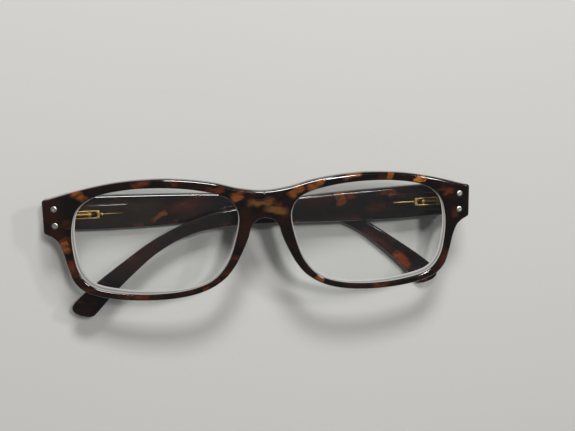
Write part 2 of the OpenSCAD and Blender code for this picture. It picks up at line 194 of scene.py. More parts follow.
# Right half of the outline: brow, end piece, outer rim, chin and arch, then up the middle.
# The stretches left of the middle only set the slope there, and are cut off again
brow_steps, lower_steps = 22, 16
corner_r, corner_len = 0.9, 1.2
brow = smooth_curve([
    [-8, brow_y - 3.75], [0, brow_y - 4.7], [8, brow_y - 3.75], [16, brow_y - 1.75],
    [lens_x - 10, brow_y - 0.5], [lens_x - 1, brow_y], [lens_x + 11, brow_y - 0.7],
    [rim_x - 4, brow_y - 2.75], [end_x - 2, end_top + 0.15],
], brow_steps)[brow_steps:]
side_ys = np.linspace(end_top - corner_len, end_low + corner_len, 24)
end_side = np.vstack([
    quarter_round([end_x - corner_r, end_top - corner_r], corner_r, 75, 0),
    np.column_stack([np.full_like(side_ys, end_x), side_ys]),
    quarter_round([end_x - corner_r, end_low + corner_r], corner_r, 0, -60),
])
lower_edge = smooth_curve([
    [rim_x + 6.2, end_low - 0.9], [rim_x + 4.4, end_low - 2.7], [rim_x + 3, -3.2],
    [rim_x + 1.8, -8], [rim_x - 0.1, -13], [rim_x - 4.4, chin_y + 2.8],
    [rim_x - 13, chin_y + 0.7], [lens_x + 2, chin_y], [lens_x - 8, chin_y + 0.7],
    [lens_x - 15.5, chin_y + 2.7], [nose_x + 7.8, chin_y + 6.1], [nose_x + 4.3, -9],
    [nose_x + 1.6, -4], [nose_x - 0.2, 0.2], [4.5, 3.5], [2.5, 5.75], [0, 6.4], [-2.5, 5.75],
], lower_steps)[:-lower_steps]
edge = np.vstack([brow, end_side, lower_edge])
middle_ys = np.linspace(edge[-1, 1], edge[0, 1], 18)[1:-1]
half_outline = np.vstack([edge, np.column_stack([np.zeros_like(middle_ys), middle_ys])])
whole_edge = np.vstack([edge, edge[::-1] * [-1, 1]])

# Rows run from the lens opening to the outline, with close steps where the edges are round
hole = facing(half_outline, opening, evening=41)
span = np.linalg.norm(half_outline - hole, axis=1)[:, None]
lens_round, lens_fall = 0.7, 0.45
outer_round, outer_fall = 1.1, 0.75
between = 9
inwards = lens_round * EDGE_STEPS
far_side = span - outer_round * EDGE_STEPS[::-1]
steps_across = np.linspace(0, 1, between + 2)[1:-1]
flat_part = lens_round + steps_across * (span - lens_round - outer_round)
near_side = np.broadcast_to(inwards, (len(span), len(inwards)))
shares = np.hstack([near_side, flat_part, far_side]) / span
plan = hole[:, None] + shares[..., None] * (half_outline - hole)[:, None]
x, y = plan[..., 0], plan[..., 1]
from_edge = distance_to(plan, whole_edge, closed=True)
from_lens = distance_to(plan, opening, closed=True)


def step_up(value, start, stop):
    """0 below the start, 1 above the stop, and a smooth S between."""
    t = np.clip((value - start) / (stop - start), 0, 1)
    return t * t * (3 - 2 * t)


face = face_z(x) - rounding(from_edge, outer_round, outer_fall)
face = face - rounding(from_lens, lens_round, lens_fall)

# The back swells a little under the nose pads and steps back where the end pieces are thick
swell, swell_w = 0.8, 1.7
pad_spine = smooth_curve([[7.5, 0.2], [8.45, -3.4], [10.2, -7.4], [11.9, -10.6]], 12)
in_end_piece = step_up(x, rim_x + 0.3, rim_x + 1.5) * step_up(y, 0.9, 2.6)
back = face_z(x) - rim_depth - swell * np.exp(-(distance_to(plan, pad_spine) / swell_w)**2)
back = back + (-end_back - back) * in_end_piece
back += rounding(from_edge, 0.6, 0.6) + rounding(from_lens, 0.4, 0.3)

rows, columns = x.shape
front_points = np.concatenate([on_front(x, y, face), on_front(x, y, back)])
numbers = np.arange(rows * columns).reshape(rows, columns)
behind = numbers + rows * columns
closed_rows = np.r_[np.arange(rows), 0]
edge_rows = np.arange(len(edge))
half_faces = np.vstack([
    grid_faces(rows, columns, close_rows=True),
    grid_faces(rows, columns, close_rows=True, first=rows * columns),
    strip_faces(numbers[closed_rows, 0], behind[closed_rows, 0]),
    strip_faces(numbers[edge_rows, -1], behind[edge_rows, -1]),
])

# A nose pad is a long rounded lobe along the arch: an ellipse carried along a bent spine,
# shrinking to a point at both ends and leaning towards the nose
pad_rows, pad_columns = 30, 24
pad_half_w, pad_root, pad_height, pad_lean = 0.95, 0.9, 2.1, 0.35
spine_shares = np.linspace(0, 1, pad_rows)[:, None]
spine_at = np.column_stack([np.interp(spine_shares[:, 0], np.linspace(0, 1, len(pad_spine)), q)
                            for q in pad_spine.T])
heading = np.gradient(spine_at, axis=0)
sideways = np.column_stack([-heading[:, 1], heading[:, 0]])
sideways /= np.linalg.norm(sideways, axis=1)[:, None]
round_turn = np.linspace(0, 2 * np.pi, pad_columns, endpoint=False)[None]
fullness = np.sqrt(np.clip(1 - np.abs(2 * spine_shares - 1)**2.6, 0, 1))
off_spine = pad_half_w * fullness * np.cos(round_turn)
lean = pad_lean * np.sin(round_turn) * fullness
pad_xy = spine_at[:, None] + (off_spine - lean)[..., None] * sideways[:, None]
pad_z = face_z(pad_xy[..., 0]) - rim_depth - pad_root - pad_height * fullness * np.sin(round_turn)
pad_points = on_front(pad_xy[..., 0], pad_xy[..., 1], pad_z)
pad_faces = grid_faces(pad_rows, pad_columns, close_columns=True, first=2 * rows * columns)

right_half = np.concatenate([front_points.reshape(-1, 3), pad_points.reshape(-1, 3)])
right_faces = np.vstack([half_faces, pad_faces])

# The left half is the mirror image: each point moves across by twice its distance from the
# middle
across_middle = (right_half / 0.001 - face_middle) @ rightwards
left_half = right_half - 0.002 * across_middle[:, None] * rightwards
front = make_piece("tortoise_front", np.vstack([right_half, left_half]),
                   np.vstack([right_faces, right_faces[:, ::-1] + len(right_half)]))


class Wire:
    """A socket in a finish. Sums and products of wires and numbers add Math nodes."""

    def __init__(self, finish, socket):
        self.finish, self.socket = finish, socket

    def math(self, operation, first, second=None):
        """The output of a new Math node."""
        return self.finish.node("Math", {"operation": operation}, {0: first, 1: second})

    def __add__(self, other):
        return self.math("ADD", self, other)

    def __sub__(self, other):
        return self.math("SUBTRACT", self, other)

    def __rsub__(self, other):
        return self.math("SUBTRACT", other, self)

    def __mul__(self, other):
        return self.math("MULTIPLY", self, other)

    def __truediv__(self, other):
        return self.math("DIVIDE", self, other)

    def __abs__(self):
        return self.math("ABSOLUTE", self)

    __radd__, __rmul__ = __add__, __mul__

    def within_one(self):
        """The value, held between 0 and 1."""
        return self.finish.node("Math", {"operation": "ADD", "use_clamp": True}, {0: self, 1: 0.0})

    def larger(self, other):
        """The larger of two values."""
        return self.math("MAXIMUM", self, other)


class Finish:
    """A material under construction."""

    def __init__(self, name):
        self.material = bpy.data.materials.new(name)
        self.material.use_nodes = True
        self.tree = self.material.node_tree
        self.tree.nodes.clear()

    def node(self, kind, settings=None, sockets=None, output=0):
        """Adds a node of that kind, with its settings and the values or wires of its sockets,
        and gives one of its outputs."""
        node = self.tree.nodes.new("ShaderNode" + kind)
        for key, value in (settings or {}).items():
            setattr(node, key, value)
        for key, value in (sockets or {}).items():
            if isinstance(value, Wire):
                self.tree.links.new(value.socket, node.inputs[key])
            elif value is not None:
                node.inputs[key].default_value = value
        return Wire(self, node.outputs[output])

    def millimetres(self):
        """Place on the object, in millimetres."""
        place = self.node("TexCoord", output="Object")
        return self.node("VectorMath", {"operation": "SCALE"}, {0: place, "Scale": 1000.0})

    def noise(self, place, scale, detail=3.0, output=0):
        """Cloudy noise of about that many clouds a millimetre: output 1 is its colour."""
        sockets = {"Vector": place, "Scale": scale, "Detail": detail}
        return self.node("TexNoise", None, sockets, output)

    def mix(self, factor, first, second):
        """A colour between two others."""
        return self.node("Mix", {"data_type": "RGBA"}, {0: factor, 6: first, 7: second}, 2)

    def over(self, value, low, high):
        """0 where a value is at its low, 1 at its high, clamped."""
        sockets = {"Value": value, "From Min": low, "From Max": high}
        return self.node("MapRange", {"interpolation_type": "SMOOTHSTEP"}, sockets)

    def surface(self, shader):
        """The finished material, with that shader as its surface."""
        last = self.tree.nodes.new("ShaderNodeOutputMaterial")
        self.tree.links.new(shader.socket, last.inputs["Surface"])
        return self.material


def tortoise(name, patches):
    """Polished tortoiseshell: a near-black body with wandering warm brown, small chance
    flecks, and the amber patches given as (x, y, half length, half height, turn in
    degrees, sharpness, colour), all pushed about a little so that no edge is straight."""
    body, warm = (0.0032, 0.0014, 0.0012, 1), (0.015, 0.0042, 0.0020, 1)
    fleck_red = (0.085, 0.022, 0.006, 1)
    f = Finish(name)
    place = f.millimetres()
    wander = f.noise(place, 0.35, 2.0, 1)
    drift = f.node("VectorMath", {"operation": "SUBTRACT"}, {0: wander, 1: (0.5, 0.5, 0.5)})
    drift = f.node("VectorMath", {"operation": "SCALE"}, {0: drift, "Scale": 2.6})
    moved = f.node("VectorMath", {"operation": "ADD"}, {0: place, 1: drift})
    x = f.node("SeparateXYZ", None, {0: moved}, "X")
    y = f.node("SeparateXYZ", None, {0: moved}, "Y")
    colour = f.mix(f.over(f.noise(place, 0.11, 2.0), 0.42, 0.68), body, warm)
    stretch = {0: moved, "Rotation": (0.0, 0.0, 0.7), "Scale": (0.10, 0.34, 0.2)}
    slant = f.node("Mapping", None, stretch)
    flecks = f.over(f.noise(slant, 1.0, 2.5), 0.58, 0.76)
    colour = f.mix(flecks * 0.5, colour, fleck_red)
    grain = f.noise(slant, 3.1, 4.0)
    for at_x, at_y, half_w, half_h, turn, sharpness, patch_colour in patches:
        c, s = math.cos(math.radians(turn)), math.sin(math.radians(turn))
        u = ((x - at_x) * c + (y - at_y) * s) / half_w
        v = ((y - at_y) * c - (x - at_x) * s) / half_h
        cover = ((1 - abs(u)) * sharpness).within_one() * ((1 - abs(v)) * sharpness).within_one()
        broken = cover * f.over(grain, 0.18, 0.62)
        colour = f.mix(broken, colour, patch_colour)
    smears = f.noise(place, 0.5, 3.0)
    waves = f.noise(place, 0.35, 1.0)
    ripple = f.node("Bump", None, {"Strength": 0.05, "Distance": 0.0002, "Height": waves})
    shader = f.node("BsdfPrincipled", None, {
        "Base Color": colour, "Roughness": f.over(smears, 0.2, 0.9) * 0.07 + 0.06,
        "IOR": 1.49, "Normal": ripple, "Coat Weight": 0.4, "Coat Roughness": 0.04,
    })
    return f.surface(shader)


amber = (0.165, 0.049, 0.009, 1)
orange = (0.33, 0.108, 0.016, 1)
honey = (0.105, 0.043, 0.011, 1)
rust = (0.088, 0.017, 0.0045, 1)
ember = (0.045, 0.010, 0.004, 1)
front_patches = [
    (-58, 15.6, 3.2, 1.7, -35, 2.0, amber), (-39, 18.3, 3.4, 1.4, 12, 2.2, rust),
    (-28, 19, 2.2, 1.2, 30, 2.2, rust), (-16, 15.8, 3.2, 1.3, 5, 2.0, rust),
    (-9, 13.6, 2.6, 1.7, 20, 2.0, amber), (-63.2, -0.6, 1.8, 2.7, 8, 1.8, amber),
    (-61.8, -7.6, 1.5, 2.6, 12, 2.2, rust), (-40, -18.2, 3.0, 1.2, 0, 2.0, rust),
    (-19.7, -15.9, 1.7, 1.2, 10, 2.2, rust), (-1, 11.6, 5.2, 1.5, 6, 1.8, honey),
    (3.5, 9.0, 4.6, 1.5, -8, 1.8, honey), (10, 14.6, 3.2, 1.7, 35, 2.2, amber),
    (16.5, 16.5, 3.6, 1.3, 25, 2.2, amber), (28.5, 18.9, 3.4, 1.1, 14, 3.0, amber),
    (41.2, 18.1, 1.1, 1.7, -38, 4.0, amber), (51.6, 16.6, 2.1, 1.2, 18, 5.0, orange),
    (61.5, 11.8, 1.8, 0.9, 30, 2.0, rust), (64.5, 5.0, 1.4, 2.4, 0, 1.6, ember),
    (60.5, -11, 1.3, 4.0, -12, 1.6, ember), (17.2, -14.7, 1.9, 1.4, 35, 3.0, amber),
    (38, -18.1, 3.2, 1.1, 0, 2.0, rust),
]
# Patches are listed by height above the middle of the lenses, and the finish measures from
# the height of the pins
front_patches = [(at_x, at_y - hinge_y, *rest) for at_x, at_y, *rest in front_patches]
front.data.materials.append(tortoise("tortoise_front", front_patches))
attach(front, "front")
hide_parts("front_frame")


# ---- The lenses ----
# Two clear plastic lenses snapped into the groove of the rims. Each is a thin shell, a
# little domed, and its edge is ground to a frosted bevel that shows just inside the rim.
lens_t, edge_share, dome_share = 1.9, 0.84, 0.16
lens_seat = 0.9
dome_h, dome_reach = 0.75, 1.35
ring_steps = np.linspace(0, 1, 25)[::-1, None]


def grown(outline, amount):
    """A clockwise closed outline moved outwards along its normals by that amount."""
    heading = np.roll(outline, -1, axis=0) - np.roll(outline, 1, axis=0)
    heading /= np.linalg.norm(heading, axis=1)[:, None]
    amount = np.broadcast_to(amount, len(outline))[:, None]
    return outline + amount * np.column_stack([-heading[:, 1], heading[:, 0]])


def lens_front(x, y):
    """Depth of the lens's front face: half a lens above the middle of the rims at its edge,
    and raised towards its own middle by a dome that falls as the square of the distance."""
    share = ((x - lens_x) / (lens_w / 2))**2 + (y / (lens_h / 2))**2
    return face_z(x) - rim_depth / 2 + lens_t / 2 + dome_h * (1 - np.clip(share / dome_reach, 0, 1))


def clear_plastic():
    """Clear lens plastic that refracts what lies under it and lets its light through."""
    f = Finish("lens_plastic")
    wipe = f.over(f.noise(f.millimetres(), 0.05, 3.0), 0.3, 0.8)
    body = f.node("BsdfPrincipled", None, {
        "Base Color": (0.965, 0.975, 0.97, 1), "Roughness": wipe * 0.012, "IOR": 1.5,
        "Transmission Weight": 1.0,
    })
    passing = f.node("BsdfTransparent", None, {"Color": (0.955, 0.965, 0.96, 1)})
    shadow = f.node("LightPath", output="Is Shadow Ray")
    scattered = f.node("LightPath", output="Is Diffuse Ray")
    return f.surface(f.node("MixShader", None, {0: shadow.larger(scattered), 1: body, 2: passing}))


def frosted_bevel():
    """Ground plastic: pale along both edges of the bevel, with painted shade darkening it where it is
    steepest.
    """
    f = Finish("lens_bevel")
    across = f.node("Attribute", {"attribute_name": "across"}, None, "Fac")
    middle = 1 - abs(across * 2 - 1)
    cloud = f.noise(f.millimetres(), 0.25, 3.0)
    # The grey across the middle of the bevel is painted shade on its steepest part.
    shade = f.over(middle, 0.45, 0.9) * 0.75 + cloud * 0.25
    pale_edge, painted_steep_shade = (0.44, 0.43, 0.41, 1), (0.13, 0.125, 0.12, 1)
    colour = f.mix(shade, pale_edge, painted_steep_shade)
    shader = f.node("BsdfPrincipled", None, {"Base Color": colour, "Roughness": 0.38 + cloud * 0.1})
    return f.surface(shader)


plastic, bevel = clear_plastic(), frosted_bevel()
edge_line = grown(opening, lens_seat)
centre = np.array([lens_x, 0.0])
shell_xy = centre + ring_steps[..., None] * (edge_line - centre)
shell_front = lens_front(shell_xy[..., 0], shell_xy[..., 1])
shell_back = shell_front - lens_t * (edge_share + dome_share * (1 - ring_steps**2))
shell_rows, shell_columns = shell_front.shape

# The bevel is widest along the chin and the outer side, and thin beside the nose and brow.
# The ring is a flat loop carried round: its shares of that width, and heights above the lens
bevel_tuck = 0.15
angle = np.arctan2(opening[:, 1] / lens_h, (opening[:, 0] - lens_x) / lens_w)
bevel_w = 0.35 + 0.95 * np.clip(np.cos(angle + 0.5), 0, 1)**1.3
bevel_w += 0.35 * np.clip(-np.sin(angle), 0, 1)
bevel_w *= 0.35 + 0.65 * step_up(-np.sin(angle), -1.0, -0.2)
across = np.array([0, 0.15, 0.35, 0.5, 0.65, 0.85, 1, 1, 0.5, 0])
height = np.array([0.32, 0.30, 0.26, 0.2, 0.14, 0.08, 0.03, -0.08, -0.12, -0.12])
ring_xy = np.stack([grown(opening, bevel_tuck - q * (bevel_w + bevel_tuck)) for q in across])
ring_z = lens_front(ring_xy[..., 0], ring_xy[..., 1]) + height[:, None]


def store(piece, name, values):
    """Keeps a number at each corner of a piece's mesh, for its finish to read."""
    numbers = piece.data.attributes.new(name, "FLOAT", "POINT")
    numbers.data.foreach_set("value", values.astype(np.float32))


for side, sign in (("left", -1), ("right", 1)):
    shell = np.stack([on_front(sign * shell_xy[..., 0], shell_xy[..., 1], z)
                      for z in (shell_front, shell_back)])
    numbers = np.arange(shell_rows * shell_columns).reshape(shell_rows, shell_columns)
    rim_numbers = np.r_[numbers[0], numbers[0, 0]]
    lens_faces = np.vstack([
        grid_faces(shell_rows, shell_columns, close_columns=True),
        grid_faces(shell_rows, shell_columns, close_columns=True, first=numbers.size),
        strip_faces(rim_numbers, rim_numbers + numbers.size),
    ])
    lens = make_piece(side + "_lens_shell", shell, lens_faces)
    lens.data.materials.append(plastic)
    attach(lens, "front")
    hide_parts(side + "_lens")

    ring = on_front(sign * ring_xy[..., 0], ring_xy[..., 1], ring_z)
    ring_faces = grid_faces(len(across), len(opening), close_rows=True, close_columns=True)
    bevel_ring = make_piece(side + "_lens_bevel", ring, ring_faces, crease=60)
    store(bevel_ring, "across", np.repeat(across, len(opening)))
    bevel_ring.data.materials.append(bevel)
    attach(bevel_ring, "front")


# ---- The rivets and hinge screws ----
# Two bright steel rivets go through each end piece and hold the hinge leaf behind it. Their
# low domed heads are set on the face. A slotted screw is the pin of each hinge.
rivet_x = end_x - 3.7
rivet_y = (end_top + end_low) / 2 - 0.05
rivet_pitch = 5.3
# Radius and height above the face of a head: a dimple, the dome, the rim and the seat
rivet_profile = smooth_curve([
    [0, 0.13], [0.13, 0.135], [0.26, 0.17], [0.50, 0.18], [0.76, 0.155], [0.93, 0.08],
    [1.0, -0.02], [1.0, -0.12], [1.0, -0.4], [0.3, -0.5], [0, -0.5],
], 5)
rivet_profile[:, 0] = np.clip(rivet_profile[:, 0], 0, None)


def bright_steel():
    """Plated steel, polished, with faint turning marks and a little haze."""
    f = Finish("rivet_steel")
    place = f.millimetres()
    haze = f.noise(place, 0.9, 4.0)
    colour = f.mix(haze, (0.60, 0.58, 0.52, 1), (0.80, 0.78, 0.72, 1))
    turned = f.noise(place, 5.0, 2.0)
    marks = f.node("Bump", None, {"Strength": 0.12, "Distance": 0.00004, "Height": turned})
    return f.surface(f.node("BsdfPrincipled", None, {
        "Base Color": colour, "Metallic": 1.0, "Roughness": 0.26 + haze * 0.16, "Normal": marks,
    }))


steel = bright_steel()
spin = np.linspace(0, 2 * np.pi, 40, endpoint=False)
tilt = rivet_x / face_radius
radius, height = rivet_profile[:, :1], rivet_profile[:, 1:]
for side, sign in (("left", -1), ("right", 1)):
    heads = []
    for lift in (-rivet_pitch / 2, rivet_pitch / 2):
        x = sign * (rivet_x + radius * np.cos(spin) + height * tilt)
        z = face_z(rivet_x) + height - radius * np.cos(spin) * tilt
        heads.append(on_front(x, rivet_y + lift + radius * np.sin(spin), z))
    one = grid_faces(len(rivet_profile), len(spin), close_columns=True)
    both = np.vstack([one, one + len(rivet_profile) * len(spin)])
    rivets = make_piece(side + "_rivet_heads", np.stack(heads), both, crease=50)
    rivets.data.materials.append(steel)
    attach(rivets, "front")
    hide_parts(side + "_front_rivets")

for node in ("left_hinge_screw", "right_hinge_screw"):
    frame["nodes"][node].data.materials.clear()
    frame["nodes"][node].data.materials.append(steel)


# ---- The temples ----
# Each temple is one piece of the same acetate: a flat outer face, round edges, a raised
# block inside for the spring hinge, and an arm that thins and bends down behind the ear.
block_t = 3.9
block_len, block_h, block_r = 21, 6.2, 1.1
block_in = 1.35
outer_n = block_in + block_t
arm_h, arm_t, ear_t, ear_s = 10.8, 3.2, 2.5, 85
butt_s = -1.9
box_s, box_len, box_h = 2.2, 9.2, 2.7
neck_half = 0.85
box_floor, neck_floor = 3.45, 2.95
anchor_s = box_s + box_len
anchor_n, anchor_r, anchor_head_r, anchor_head_len = 1.85, 0.27, 0.55, 1.1
groove_len = 7.5
pin_below_top = 0.53
temple_top = hinge_y + arm_h * pin_below_top


def on_temple(side, s, y, n):
    """Row-frame points, in metres, for places along a temple from its pin, up its face and
    through its thickness towards its outer face."""
    along = np.array(joints[side + "_flex"]["axis"])
    through = np.cross(along, upwards)
    through *= -np.sign(through[2])
    pin = 1000 * np.array(joints[side + "_fold"]["pos_m"])
    s, y, n = np.broadcast_arrays(s, y, n)
    place = pin + s[..., None] * along + (y - hinge_y)[..., None] * upwards
    return 0.001 * (place + n[..., None] * through)


def temple_edges(droop):
    """The upper and lower edges of a temple, each from its butt to the middle of its tip."""
    knots = np.array([
        [butt_s, -0.15], [8, 0.1], [25, -0.2], [40, -0.6], [53, -1.25], [64, -2.3], [73, -3.6],
        [81, -5], [88, -7], [94.5, -9.6], [102, -13.4], [112, -20.1], [120, -25.8],
        [124.6, -29.6], [126.4, -31.4], [127, -33.2], [125.6, -35], [122.6, -36.2],
        [120.6, -36.2], [118.8, -34.8], [111.6, -27.3], [105, -21.4], [99, -16.7], [92, -12.9],
        [85, -10.6], [76, -9.5], [64, -9.5], [50, -9.9], [30, -10.8], [14, -11], [butt_s, -10.8],
    ])
    knots[:, 1] += temple_top - np.clip(knots[:, 0], 0, None) * math.tan(math.radians(droop))
    steps, tip_knot = 16, 15
    outline = smooth_curve(knots, steps)
    tip = tip_knot * steps
    return outline, outline[:tip + 1], outline[tip:][::-1]


def hinge_side(s, y):
    """Depth of the temple's inner face: the thinning arm, the raised block with its round
    corners, and the cuts for the spring box, the slider's neck and the anchor wire."""
    off = np.abs(y - hinge_y)
    arm = outer_n - np.interp(s, [block_len, ear_s], [arm_t, ear_t])
    past_s = s - (block_len - block_r)
    past_y = off - (block_h / 2 - block_r)
    corner = np.hypot(np.clip(past_s, 0, None), np.clip(past_y, 0, None))
    inside = block_r - corner - np.clip(np.maximum(past_s, past_y), None, 0)
    depth = arm + (block_in - arm) * (1 - rounding(inside, 0.5, 1)) * (inside > 0)
    cuts = [
        (box_s, anchor_s, box_h / 2, box_floor), (butt_s - 1, box_s, neck_half, neck_floor),
        (anchor_s, anchor_s + anchor_head_len, anchor_head_r, anchor_n + 0.5),
        (anchor_s, anchor_s + groove_len, anchor_r, anchor_n + 0.3),
    ]
    for start, stop, half, floor in cuts:
        depth = np.where((s > start) & (s < stop) & (off < half), np.maximum(depth, floor), depth)
    return depth


# Places along the straight of a temple and across its block, with a pair at each cut's end
thin = 0.012
cut_ends = (box_s, anchor_s, anchor_s + anchor_head_len, anchor_s + groove_len)
stations = np.unique(np.round(np.concatenate([
    butt_s + np.array([0, 0.03, 0.1, 0.2, 0.35]), np.arange(-1.4, 50, 0.55),
    np.arange(19.4, 21.4, 0.12), block_len - 0.5 * EDGE_STEPS,
    [q + d for q in cut_ends for d in (-thin, thin)],
]), 4))
lines = [0.0, 1.1, 1.8, 2.2, 2.5, 3.2]
lines += [q + d for q in (anchor_r, anchor_head_r, neck_half, box_h / 2) for d in (-thin, thin)]
lines += list(block_h / 2 - 0.5 * EDGE_STEPS)
lines = np.unique(np.round(np.r_[lines, -np.array(lines)], 4))
temple_round = 1.1
tip_steps = 1 - (1 - np.linspace(0, 1, 165)[1:])**1.25


def temple_grid(droop):
    """Places on a temple, row by row from the butt to the tip, and its outline. A row runs
    from the lower edge to the upper one: upright along the straight, and past it between
    places at equal shares of the two edges' lengths."""
    outline, upper, lower = temple_edges(droop)
    ends = []
    for line in (lower, upper):
        straight = np.column_stack([stations, np.interp(stations, line[:, 0], line[:, 1])])
        rest = np.vstack([straight[-1:], line[np.argmax(line[:, 0] > stations[-1] + 0.1):]])
        run = np.r_[0, np.cumsum(np.linalg.norm(np.diff(rest, axis=0), axis=1))]
        bent = np.column_stack([np.interp(tip_steps * run[-1], run, q) for q in rest.T])
        ends.append(np.vstack([straight, bent]))
    low, top = ends
    height = np.linalg.norm(top - low, axis=1)[:, None]
    least_h, held_s = 6.5, 25
    near = temple_round * EDGE_STEPS / np.maximum(height, least_h)
    held = np.minimum(np.arange(len(low)), stations.searchsorted(held_s))
    middle = (hinge_y + lines - low[held, 1:]) / height[held]
    under = near[:, -1:] + (middle[:, :1] - near[:, -1:]) * np.array([[0.35, 0.7]])
    above_top = 1 - near[:, -1:]
    above = middle[:, -1:] + (above_top - middle[:, -1:]) * np.array([[0.3, 0.65]])
    shares = np.hstack([near, under, middle, above, 1 - near[:, ::-1]])
    return low[:, None] + shares[..., None] * (top - low)[:, None], outline


olive = (0.022, 0.0135, 0.0065, 1)
scarlet = (0.20, 0.036, 0.008, 1)
bronze = (0.045, 0.024, 0.010, 1)
temple_patches = {
    "left": [
        (-46, -0.5, 15, 4.6, 0, 3.0, olive), (-33.5, -2.0, 3.6, 1.0, 35, 2.4, amber),
        (-29.5, -4.5, 3.0, 1.0, 30, 2.4, rust), (-40.5, -4.4, 2.6, 0.9, 5, 2.2, rust),
        (-14, -3.0, 4.0, 2.0, 30, 2.0, rust), (-25, 1.5, 7.0, 2.4, 10, 1.6, ember),
        (12, -4, 5.0, 2.2, -25, 2.0, rust), (40, -14, 9.0, 2.6, -35, 1.6, ember),
        (30, -10.5, 4.5, 2.4, -30, 2.0, rust), (49.0, -21.0, 4.6, 2.8, -35, 2.2, scarlet),
        (57.5, -27, 3.0, 1.8, -35, 2.2, rust),
    ],
    "right": [
        (27, 1.9, 2.0, 2.8, 8, 2.2, amber), (30.5, 3.0, 1.8, 1.2, 0, 2.0, rust),
        (13.9, -6.4, 3.4, 1.3, -15, 2.2, amber), (44, 3.2, 4.0, 1.2, 0, 2.0, rust),
        (5, -2, 3.6, 1.6, 25, 2.0, rust), (40, -1.5, 6.0, 1.8, 5, 1.6, ember),
        (-12, -6, 4.2, 1.8, 30, 2.0, rust), (-33, -19, 8.0, 2.4, 38, 1.6, ember),
        (-27, -15, 3.6, 2.0, 40, 2.0, rust), (-38, -23, 4.2, 2.6, 40, 2.0, bronze),
        (-56, -37.5, 4.6, 0.9, -18, 2.2, rust),
    ],
}

for side, droop in (("left", -0.2), ("right", 1.4)):
    plan, outline = temple_grid(droop)
    s, y = plan[..., 0], plan[..., 1]
    from_edge = distance_to(plan, outline)
    butt = rounding(s - butt_s, 0.3, 0.3)
    outer = outer_n - rounding(from_edge, temple_round, 0.95) - butt
    inner = hinge_side(s, y)
    inner = inner + rounding(from_edge, temple_round, 0.85) + butt * (inner < 2)
    rows, columns = s.shape
    points = np.concatenate([on_temple(side, s, y, outer), on_temple(side, s, y, inner)])
    numbers = np.arange(rows * columns).reshape(rows, columns)
    inside = numbers + rows * columns
    faces = np.vstack([
        grid_faces(rows, columns), grid_faces(rows, columns, first=rows * columns),
        strip_faces(numbers[:, 0], inside[:, 0]), strip_faces(numbers[:, -1], inside[:, -1]),
        strip_faces(numbers[0], inside[0]),
    ])
    temple = make_piece(side + "_temple_arm", points, faces, crease=38)
    temple.data.materials.append(tortoise("tortoise_" + side, temple_patches[side]))
    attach(temple, side + "_temple")
    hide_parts(side + "_temple")


# ---- The spring boxes ----
# A gold-plated brass box is let into each block. A long slot in its face shows the coil
# spring on its pull rod, and a wire brazed to its end anchors it in the acetate.
box_n, box_t = 1.1, 2.3
slot_half, slot_from_mouth, slot_from_end = 0.93, 1.2, 0.8
slot_start = box_s + slot_from_mouth + slot_half
slot_stop = anchor_s - slot_from_end - slot_half


def gold_plate():
    """Gold-coloured plating on brass, warm and fairly smooth, duller in places, and darkened by
    painted shade deep in a bore or in the acetate.
    """
    f = Finish("gold_plate")
    place = f.millimetres()
    worn = f.noise(place, 0.7, 4.0)
    inside = f.node("Attribute", {"attribute_name": "inside"}, None, "Fac")
    colour = f.mix(f.over(worn, 0.3, 0.75), (0.80, 0.54, 0.20, 1), (0.56, 0.36, 0.12, 1))
    # Painted shade: the 'inside' number darkens the plating deep in the bore and along the buried
    # anchor wire.
    colour = f.mix(inside, colour, (0.085, 0.050, 0.017, 1))
    pores = f.noise(place, 4.0, 3.0)
    grain = f.node("Bump", None, {"Strength": 0.15, "Distance": 0.00004, "Height": pores})
    return f.surface(f.node("BsdfPrincipled", None, {
        "Base Color": colour, "Metallic": 1.0, "Roughness": 0.24 + worn * 0.14, "Normal": grain,
    }))


gold = gold_plate()
for node in frame["nodes"]:
    if node.endswith(("_front_hinge", "_hinge_slider", "_spring_nut")):
        frame["nodes"][node].data.materials.clear()
        frame["nodes"][node].data.materials.append(gold)

# Skin of the box, loop by loop: from its back over the outside to the face, in over the lip
# of the slot, and down the bore to its floor
box_corner, box_round, lip_round = 0.35, 0.22, 0.14
box_end = [
    quarter_round([anchor_s - box_corner, q], box_corner, a, a - 90, 10)
    for q, a in ((box_h / 2 - box_corner, 90), (-box_h / 2 + box_corner, 0))
]
side_steps = np.linspace(box_s + 0.15, anchor_s - box_corner, 60)[:-1]
far_steps = np.linspace(0.5, -0.5, 6)
near_steps = np.linspace(-box_h / 2 + 0.15, box_h / 2 - 0.15, 16)
box_loop = np.vstack([
    np.column_stack([side_steps, np.full_like(side_steps, box_h / 2)]), box_end[0],
    np.column_stack([np.full_like(far_steps, anchor_s), far_steps]), box_end[1],
    np.column_stack([side_steps[::-1], np.full_like(side_steps, -box_h / 2)]),
    np.column_stack([np.full_like(near_steps, box_s), near_steps]),
])
slot_loop = np.vstack([
    quarter_round([slot_stop, 0], slot_half, 90, -90, 24),
    quarter_round([slot_start, 0], slot_half, -90, -270, 24),
])
slot_loop = np.vstack([slot_loop, slot_loop[:1]])
slot_run = np.r_[0, np.cumsum(np.linalg.norm(np.diff(slot_loop, axis=0), axis=1))]
even_run = np.linspace(0, slot_run[-1], 300, endpoint=False)
slot_loop = np.column_stack([np.interp(even_run, slot_run, q) for q in slot_loop.T])
slot_at = facing(box_loop, slot_loop, evening=9)
lip_w = np.linalg.norm(slot_at - box_loop, axis=1)[:, None]
spine = np.column_stack([np.clip(slot_at[:, 0], slot_start, slot_stop), np.zeros(len(slot_at))])
loops, depths = [], []


def add_loop(loop, depth):
    """Adds the next loop of the box's skin, at that depth."""
    loops.append(loop)
    depths.append(np.full(len(loop), depth))


